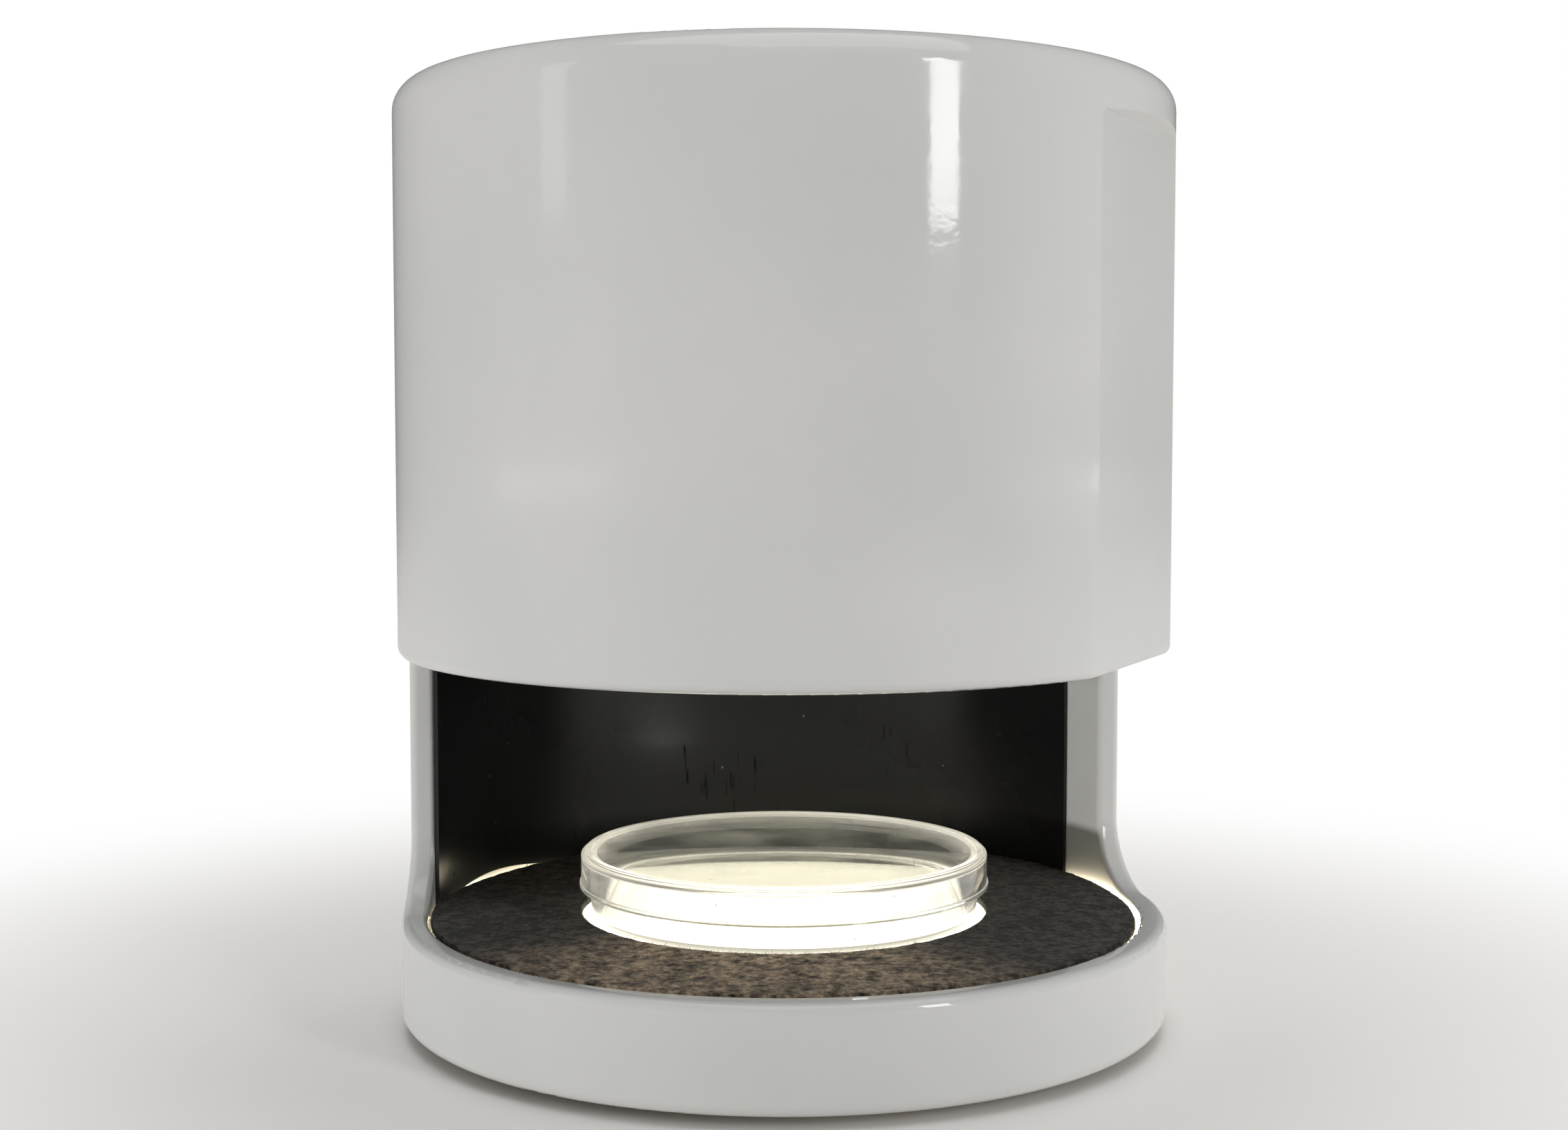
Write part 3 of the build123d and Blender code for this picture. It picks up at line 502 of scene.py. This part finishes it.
def matted(r, z, turn):
    """Lifts and drops the pile a little, frays the cut edges and trims the outer edge unevenly."""
    place = Vector((r * cos(turn), r * sin(turn), z))
    r -= max(0.0, (r - felt_inner) / (felt_outer - felt_inner)) * light_gap(turn)
    if z < felt_top - 0.5:
        return r, z
    at_edge = min(r - felt_inner, felt_outer - r) < 0.5
    frayed = noise.noise(place * 0.9) * fray if at_edge else 0.0
    return r + frayed, z + tuft * noise.noise(place * 0.9) + mat * noise.noise(place * 0.3)


felt = new_object("felt_ring", revolve("felt_ring", felt_profile, felt_columns, matted))
felt.data.materials.append(wool)

# Loose fibres over the felt, thickest along its cut edges
fibres = bpy.data.node_groups.new("felt_fibres", "GeometryNodeTree")
fibres.interface.new_socket("Geometry", in_out="INPUT", socket_type="NodeSocketGeometry")
sockets = {}
for label, kind in (
    ("Density", "Float"),
    ("Inner radius", "Float"),
    ("Outer radius", "Float"),
    ("Fibre", "Material"),
):
    socket = fibres.interface.new_socket(label, in_out="INPUT", socket_type=f"NodeSocket{kind}")
    sockets[label] = socket.identifier
fibres.interface.new_socket("Geometry", in_out="OUTPUT", socket_type="NodeSocketGeometry")
entry = add_node(fibres, "NodeGroupInput")
position = add_node(fibres, "GeometryNodeInputPosition")
_, radius = from_axis(fibres, position.outputs[0])
inside = arithmetic(fibres, "SUBTRACT", radius, entry.outputs["Inner radius"])
outside = arithmetic(fibres, "SUBTRACT", entry.outputs["Outer radius"], radius)
nearest = arithmetic(fibres, "MINIMUM", inside, outside)
crowd = remap(fibres, nearest, 0.0003, 0.0015, low=5.0, high=1.0)
density = arithmetic(fibres, "MULTIPLY", crowd, entry.outputs["Density"])
normal = add_node(fibres, "GeometryNodeInputNormal")
facing = add_node(fibres, "ShaderNodeSeparateXYZ", {0: normal.outputs[0]})
upper = add_node(fibres, "FunctionNodeCompare", {0: facing.outputs["Z"], 1: -0.4}, operation="GREATER_THAN")
points = add_node(
    fibres,
    "GeometryNodeDistributePointsOnFaces",
    {"Mesh": entry.outputs["Geometry"], "Selection": upper.outputs[0], "Density": density, "Seed": 7},
)
cone = add_node(
    fibres,
    "GeometryNodeMeshCone",
    {"Vertices": 3, "Side Segments": 1, "Radius Top": 0.0, "Radius Bottom": 0.00004, "Depth": 0.0011},
)
tilt = add_node(
    fibres,
    "FunctionNodeRandomValue",
    {0: (-1.25, -1.25, 0.0), 1: (1.25, 1.25, 6.28), "Seed": 11},
    data_type="FLOAT_VECTOR",
)
size = add_node(fibres, "FunctionNodeRandomValue", {2: 0.5, 3: 1.3, "Seed": 19}, data_type="FLOAT")
leaning = add_node(
    fibres, "FunctionNodeRotateRotation", {0: points.outputs["Rotation"]}, rotation_space="LOCAL"
)
turned = add_node(fibres, "FunctionNodeEulerToRotation", {0: tilt.outputs[0]})
fibres.links.new(turned.outputs[0], leaning.inputs[1])
placed = add_node(
    fibres,
    "GeometryNodeInstanceOnPoints",
    {
        "Points": points.outputs["Points"],
        "Instance": cone.outputs["Mesh"],
        "Rotation": leaning.outputs[0],
        "Scale": size.outputs[1],
    },
)
real = add_node(fibres, "GeometryNodeRealizeInstances", {"Geometry": placed.outputs["Instances"]})
coloured = add_node(
    fibres,
    "GeometryNodeSetMaterial",
    {"Geometry": real.outputs["Geometry"], "Material": entry.outputs["Fibre"]},
)
add_node(fibres, "NodeGroupOutput", {"Geometry": coloured.outputs["Geometry"]})

# Single dark wool fibres with lighter dust among them
fibre_wool = plain_finish("loose_wool_fibres", "121110", "57534D", 700.0, (0.8, 0.95))


def grown(name, source, group, values):
    """The mesh that a node group makes from a mesh, as a new object."""
    carrier = new_object(name, source)
    modifier = carrier.modifiers.new(group.name, "NODES")
    modifier.node_group = group
    for identifier, value in values.items():
        modifier[identifier] = value
    graph = bpy.context.evaluated_depsgraph_get()
    mesh = bpy.data.meshes.new_from_object(carrier.evaluated_get(graph))
    carrier.modifiers.clear()
    carrier.data = mesh
    return carrier


felt_pile = grown(
    "felt_pile",
    felt.data.copy(),
    fibres,
    {
        sockets["Density"]: 450000.0,
        sockets["Inner radius"]: felt_inner * MM,
        sockets["Outer radius"]: felt_outer * MM,
        sockets["Fibre"]: fibre_wool,
    },
)
for piece in (felt, felt_pile):
    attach(piece, "housing")
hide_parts("stage_felt")

# ---- Lining --------------------------------------------------------------------------------------
# One sheet of glossy black film sprung round the back of the chamber. It stops at a cut edge on the
# right, bows a little off the wall, and carries scratches and dust.

worn_below, worn_fully = 0.058, 0.05  # heights between which the scratches fade in
worn_behind = 0.066  # scratches only this far back

# Glossy black polyester film with dust and, low at the back, rubbed hairlines
gloss_film, tree, out = new_material("gloss_black_film")
coords = add_node(tree, "ShaderNodeTexCoord").outputs["Object"]
place = add_node(tree, "ShaderNodeSeparateXYZ", {0: coords})
dust = add_node(tree, "ShaderNodeTexVoronoi", {"Vector": coords, "Scale": 230.0, "Randomness": 1.0})
grit = remap(tree, dust.outputs["Distance"], 0.03, 0.09, low=1.0, high=0.0)
chance = add_node(tree, "ShaderNodeSeparateColor", {0: dust.outputs["Color"]})
sparse = remap(tree, place.outputs["X"], -0.07, -0.03, low=0.6, high=0.9)
rare = arithmetic(tree, "GREATER_THAN", chance.outputs[0], sparse)
specks = arithmetic(tree, "MULTIPLY", grit, rare)
slanted = add_node(
    tree,
    "ShaderNodeMapping",
    {"Vector": coords, "Rotation": (0.0, 0.4, 0.0), "Scale": (1300.0, 900.0, 90.0)},
)
strokes = noise_texture(tree, slanted.outputs["Vector"], 1.0, 1.0)
hairline = remap(tree, strokes, 0.66, 0.7)
patch = noise_texture(tree, coords, 38.0, 0.0)
rubbed = remap(tree, patch, 0.57, 0.62)
low_down = remap(tree, place.outputs["Z"], worn_below, worn_fully)
scratch = arithmetic(tree, "MULTIPLY", hairline, rubbed)
scratch = arithmetic(tree, "MULTIPLY", scratch, low_down)
central = arithmetic(tree, "GREATER_THAN", place.outputs["Y"], worn_behind)
scratch = arithmetic(tree, "MULTIPLY", scratch, central)
haze = noise_texture(tree, coords, 25.0, 4.0)
gloss = remap(tree, haze, 0.3, 0.7, low=0.24, high=0.34)
dulled = arithmetic(tree, "ADD", gloss, scratch)
tint = add_node(
    tree, "ShaderNodeMix", {0: specks, 6: linear("1A1A1A"), 7: linear("8A8883")}, data_type="RGBA"
)
film = add_node(
    tree,
    "ShaderNodeBsdfPrincipled",
    {"Base Color": tint.outputs[2], "Roughness": dulled, "IOR": 1.5},
)
tree.links.new(film.outputs[0], out.inputs["Surface"])

film_low, film_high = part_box("lining_sheet")
film_inner, film_outer = 81.0, 81.8
film_right, film_left = 111.5, 360.0 - 101.4  # bearings of its two ends
film_rise, rise_bearing, rise_spread = 7.2, -126, 44  # its foot is cut higher at the left back
bow_mean, bow_wave, bow_ripple = 0.16, 0.12, 0.05  # millimetres that it stands off the wall
film_bottom, film_top = film_low.z / MM, film_high.z / MM
made = bmesh.new()
columns, rows = 150, 34
skins = []
for skin in (film_outer, film_inner):
    grid = []
    for column in range(columns + 1):
        share = column / columns
        bearing = film_right + (film_left - film_right) * share
        turn = radians(bearing - 90)
        line = []
        for row in range(rows + 1):
            foot = film_bottom + film_rise * lobe(turn, rise_bearing, rise_spread)
            z = foot + (film_top - foot) * row / rows
            held = min(1.0, 8 * share, 8 * (1 - share))
            wave = bow_wave * sin(7 * share * pi + 0.02 * z)
            bow = held * (bow_mean + wave + bow_ripple * sin(19 * share + 0.06 * z))
            r = (skin - bow) * MM
            line.append(made.verts.new((r * cos(turn), r * sin(turn), z * MM)))
        grid.append(line)
    skins.append(grid)
outer, inner = skins
for column in range(columns):
    for row in range(rows):
        for grid, out_side in ((outer, True), (inner, False)):
            here, there = grid[column], grid[column + 1]
            corners = (here[row], there[row], there[row + 1], here[row + 1])
            made.faces.new(corners if out_side else corners[::-1])
for line in range(columns):
    for row, flip in ((0, True), (rows, False)):
        corners = (outer[line][row], outer[line + 1][row], inner[line + 1][row], inner[line][row])
        made.faces.new(corners[::-1] if flip else corners)
for row in range(rows):
    for column in (0, columns):
        here, there = outer[column], inner[column]
        made.faces.new((here[row], here[row + 1], there[row + 1], there[row]))
mesh = finished_mesh("lining", made)
mesh.set_sharp_from_angle(angle=radians(40))
lining = new_object("lining", mesh)
lining.data.materials.append(gloss_film)
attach(lining, "housing")
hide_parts("lining_sheet")

# ---- Backlight -----------------------------------------------------------------------------------
# A round aluminium-backed board under the diffuser, with rings of surface-mounted lamps.

# Green solder mask over copper, with the faint relief of its tracks
solder_mask, tree, out = new_material("green_solder_mask")
coords = add_node(tree, "ShaderNodeTexCoord").outputs["Object"]
tracks = add_node(
    tree,
    "ShaderNodeTexBrick",
    {
        "Vector": coords,
        "Color1": linear("1D5A36"),
        "Color2": linear("1A5231"),
        "Mortar": linear("2B7148"),
        "Scale": 420.0,
        "Mortar Size": 0.03,
        "Brick Width": 1.7,
        "Row Height": 0.6,
    },
)
bump = add_node(
    tree, "ShaderNodeBump", {"Height": tracks.outputs["Fac"], "Strength": 0.3, "Distance": 0.00005}
)
board = add_node(
    tree,
    "ShaderNodeBsdfPrincipled",
    {"Base Color": tracks.outputs["Color"], "Roughness": 0.35, "Normal": bump.outputs["Normal"]},
)
tree.links.new(board.outputs[0], out.inputs["Surface"])
dress(solder_mask, "camera_board", "controller_board")

# White solder mask of the lamp boards, satin
white_mask = plain_finish("white_solder_mask", "D6D5D0", "DEDDD9", 800.0, (0.35, 0.45), 0.00001)
# Plain brass posts, turned
brass = plain_finish("turned_brass", "B08D4B", "C2A05E", 2500.0, (0.25, 0.35), 0.00001, metallic=1.0)
dress(white_mask, "backlight_board", "ring_light_board")
dress(brass, "backlight_standoffs", "controller_standoffs", "ring_spacers", "camera_posts")

# Phosphor-filled lamp bodies
phosphor = plain_finish("led_phosphor", "D9C77A", "E7DA9C", 2500.0, (0.3, 0.45))
dress(phosphor, "backlight_leds", "ring_leds")

# ---- Baffle and ring light -----------------------------------------------------------------------
# A black plate screwed across the drum over the chamber, with the ring light and its opal cover
# hung below it on spacers.

# Black ABS with a fine spark-eroded texture
black_abs = plain_finish("textured_black_abs", "131313", "1D1D1D", 1800.0, (0.45, 0.6), 0.00005)
# Unlit opal polycarbonate
opal_cover = plain_finish("opal_polycarbonate", "D5D5D0", "DFDFDB", 120.0, (0.3, 0.4))
# Black-oxide steel
black_oxide = plain_finish("black_oxide_steel", "17171A", "222225", 1500.0, (0.3, 0.45), metallic=0.8)
dress(black_abs, "baffle_plate", "power_jack", "button_switch", "controller_chips")
dress(black_oxide, "baffle_screws")
dress(opal_cover, "ring_diffuser")

# ---- Camera --------------------------------------------------------------------------------------
# A board camera over the baffle looks down through the ring light. Its lens is an anodised barrel
# with a knurled focus ring.

# Black anodised aluminium, satin
anodised = plain_finish(
    "black_anodised_aluminium", "101011", "18181A", 2200.0, (0.28, 0.4), 0.00002, metallic=0.6
)
# Coated glass with a faint blue cast
coated_glass = plain_finish("coated_lens_glass", "0A0D18", "121833", 60.0, (0.02, 0.04), ior=1.7)
# Bare silicon under its cover glass
silicon = plain_finish("sensor_silicon", "20242B", "2E3340", 4000.0, (0.05, 0.1), ior=1.9)
dress(anodised, "lens_mount", "lens_barrel", "focus_ring")
dress(coated_glass, "front_lens")
dress(silicon, "image_sensor")

# ---- Connectors at the back ----------------------------------------------------------------------
# A small panel in the recess at the foot holds the power socket, a data socket and a push button.
# A flat ribbon runs from the controller up the wall to the camera.

# Nickel-plated steel shell of the data socket
nickel = plain_finish("nickel_plated_shell", "A8A7A2", "C2C1BC", 2000.0, (0.18, 0.3), 0.00001, metallic=1.0)
# Grey-white polyester ribbon with its conductors just visible
ribbon_film = plain_finish("polyester_ribbon", "B9BCC2", "D2D4D8", 500.0, (0.25, 0.35))
# Dark grey push button, satin
button_abs = plain_finish("dark_grey_button", "2A2B2D", "343537", 1600.0, (0.3, 0.4), 0.00003)
# Dark grey panel, fine matt texture
grey_abs = plain_finish("textured_grey_abs", "47484A", "525355", 1800.0, (0.5, 0.65), 0.00005)
# Ivory nylon of the ribbon's sockets
ivory_nylon = plain_finish("ivory_nylon", "D6CDB4", "E0D8C2", 900.0, (0.4, 0.5))
dress(grey_abs, "rear_panel")
dress(ivory_nylon, "ribbon_sockets")
dress(nickel, "usb_socket")
dress(ribbon_film, "ribbon_cable")
dress(button_abs, "power_button")

# ---- Petri dish ----------------------------------------------------------------------------------
# A 90 mm dish with its lid, both thin clear polystyrene mouldings. The dish stands on the lit disc
# and the lid hangs loose over its rim.

side_wall = 0.0434  # from the axis: past this it is side wall
rim_from, rim_full = 0.0374, 0.0384  # heights: the lid's top rim, which has a painted glow
foot_full, foot_to = 0.0248, 0.0272  # heights: the dish's foot, next to the lit disc, with a painted glow
clear_front, milky_rear = -0.02, 0.02  # where the front's clear wall turns into the back's milky one, with painted glowing streaks

# Clear injection-moulded polystyrene, dusty, with drawn streaks and a milky veil in its back half
# A painted warm glow lights the lid's top rim, the dish's foot and the streaks at the back.
styrene, tree, out = new_material("clear_polystyrene")
coords = add_node(tree, "ShaderNodeTexCoord").outputs["Object"]
dust = add_node(tree, "ShaderNodeTexVoronoi", {"Vector": coords, "Scale": 340.0, "Randomness": 1.0})
grit = remap(tree, dust.outputs["Distance"], 0.05, 0.09, low=0.8, high=0.0)
chance = add_node(tree, "ShaderNodeSeparateColor", {0: dust.outputs["Color"]})
rare = arithmetic(tree, "GREATER_THAN", chance.outputs[0], 0.86)
specks = arithmetic(tree, "MULTIPLY", grit, rare)
flow = noise_texture(tree, coords, 45.0, 2.0)
bump = add_node(tree, "ShaderNodeBump", {"Height": flow, "Strength": 0.05, "Distance": 0.0005})
# Painted glow on the walls only: the lid's top rim, the dish's foot by the disc and streaks at the back
_, radius = from_axis(tree, coords)
on_wall = arithmetic(tree, "GREATER_THAN", radius, side_wall)
height = add_node(tree, "ShaderNodeSeparateXYZ", {0: coords})
on_rim = remap(tree, height.outputs["Z"], rim_from, rim_full, low=0.01, high=0.3)
on_foot = remap(tree, height.outputs["Z"], foot_full, foot_to, low=0.9, high=0.0)
painted_edge_glow = arithmetic(tree, "ADD", on_rim, on_foot)
rear_half = remap(tree, height.outputs["Y"], clear_front, milky_rear, low=0.06)
drawn = add_node(tree, "ShaderNodeMapping", {"Vector": coords, "Scale": (28.0, 28.0, 260.0)})
folds = noise_texture(tree, drawn.outputs["Vector"], 1.0, 3.0, distortion=1.2)
glow = remap(tree, folds, 0.4, 0.65, low=0.04, high=0.26)
rear_glow = arithmetic(tree, "MULTIPLY", glow, rear_half)
painted_edge_glow = arithmetic(tree, "ADD", painted_edge_glow, rear_glow)
painted_wall_glow = arithmetic(tree, "MULTIPLY", painted_edge_glow, on_wall)
clear = add_node(
    tree,
    "ShaderNodeBsdfPrincipled",
    {
        "Base Color": (1, 1, 1, 1),
        "Roughness": 0.03,
        "IOR": 1.57,
        "Transmission Weight": 1.0,
        "Normal": bump.outputs["Normal"],
        "Emission Color": linear("FFF8E4"),
        "Emission Strength": painted_wall_glow,
    },
)
scatter = add_node(tree, "ShaderNodeBsdfTranslucent", {"Color": linear("F0F0EC")})
bloom = add_node(tree, "ShaderNodeBsdfDiffuse", {"Color": linear("E8E8E5")})
milk = add_node(tree, "ShaderNodeMixShader", {"Fac": 0.5, 1: scatter.outputs[0], 2: bloom.outputs[0]})
wipes = noise_texture(tree, coords, 55.0, 5.0)
veil = remap(tree, wipes, 0.4, 0.7, low=0.05, high=0.2)
veil = arithmetic(tree, "MULTIPLY", veil, rear_half)
streaks = remap(tree, folds, 0.42, 0.62, low=0.2, high=0.6)
smeared = arithmetic(tree, "MULTIPLY", streaks, on_wall)
smeared = arithmetic(tree, "MULTIPLY", smeared, rear_half)
cloudy = arithmetic(tree, "ADD", veil, smeared)
hazy = add_node(tree, "ShaderNodeMixShader", {"Fac": cloudy, 1: clear.outputs[0], 2: milk.outputs[0]})
powder = add_node(tree, "ShaderNodeBsdfDiffuse", {"Color": linear("D8D6D0")})
dusty = add_node(
    tree, "ShaderNodeMixShader", {"Fac": specks, 1: hazy.outputs[0], 2: powder.outputs[0]}
)
tree.links.new(dusty.outputs[0], out.inputs["Surface"])


def soften(outline, radius, steps=3):
    """Rounds the corners of a closed outline in millimetres, leaving points on the axis alone."""
    rounded = []
    count = len(outline)
    for i, (x, y) in enumerate(outline):
        here = Vector((x, y))
        back = Vector(outline[i - 1]) - here
        ahead = Vector(outline[(i + 1) % count]) - here
        reach = min(radius, back.length * 0.45, ahead.length * 0.45)
        if x < 1e-6 or reach < 1e-6:
            rounded.append((x, y))
            continue
        start, end = here + back.normalized() * reach, here + ahead.normalized() * reach
        for step in range(steps + 1):
            t = step / steps
            point = start * (1 - t) ** 2 + here * (2 * t * (1 - t)) + end * t**2
            rounded.append((point.x, point.y))
    return rounded


dish_low, dish_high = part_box("dish_base")
lid_low, lid_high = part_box("dish_lid")
dish_z, dish_top, dish_radius = dish_low.z / MM, dish_high.z / MM, dish_high.x / MM
lid_z, lid_top, lid_radius = lid_low.z / MM, lid_high.z / MM, lid_high.x / MM
# Mouldings, in millimetres
foot_height, foot_width = 0.5, 2.0
draft = 0.6  # how much wider the dish is at its rim
dish_floor = 1.2
dish_wall = 1.2
lip_out, lip_height = 0.4, 1.1  # the band round the lid's lower edge
lid_wall, lid_ceiling = 1.1, 1.1
ridge_in, ridge_width, ridge_height = 1.3, 1.5, 0.8  # the ridge on top that the next dish stacks in
corner_round = 0.3
turned_columns = 192

foot_outer = dish_radius - draft
dish_inside = dish_z + foot_height + dish_floor
dish_outline = [
    (0.0, dish_z + foot_height),
    (foot_outer - foot_width, dish_z + foot_height),
    (foot_outer - foot_width, dish_z),
    (foot_outer, dish_z),
    (dish_radius, dish_top),
    (dish_radius - dish_wall, dish_top),
    (foot_outer - dish_wall, dish_inside),
    (0.0, dish_inside),
]
lid_side = lid_radius - lip_out
lid_face = lid_top - ridge_height
ridge_outer = lid_radius - ridge_in
lid_outline = [
    (0.0, lid_face - lid_ceiling),
    (lid_side - lid_wall, lid_face - lid_ceiling),
    (lid_side - lid_wall, lid_z),
    (lid_radius, lid_z),
    (lid_radius, lid_z + lip_height),
    (lid_side, lid_z + lip_height),
    (lid_side, lid_face),
    (ridge_outer, lid_face),
    (ridge_outer, lid_top),
    (ridge_outer - ridge_width, lid_top),
    (ridge_outer - ridge_width, lid_face),
    (0.0, lid_face),
]
for name, outline, node, body, slot_name in (
    ("petri_dish_moulding", dish_outline, "dish_base", "petri_dish", "dish_clear"),
    ("petri_lid_moulding", lid_outline, "dish_lid", "petri_lid", "lid_clear"),
):
    piece = new_object(name, revolve(name, soften(outline, corner_round), turned_columns))
    piece.data.materials.append(styrene)
    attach(piece, body)
    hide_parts(node)
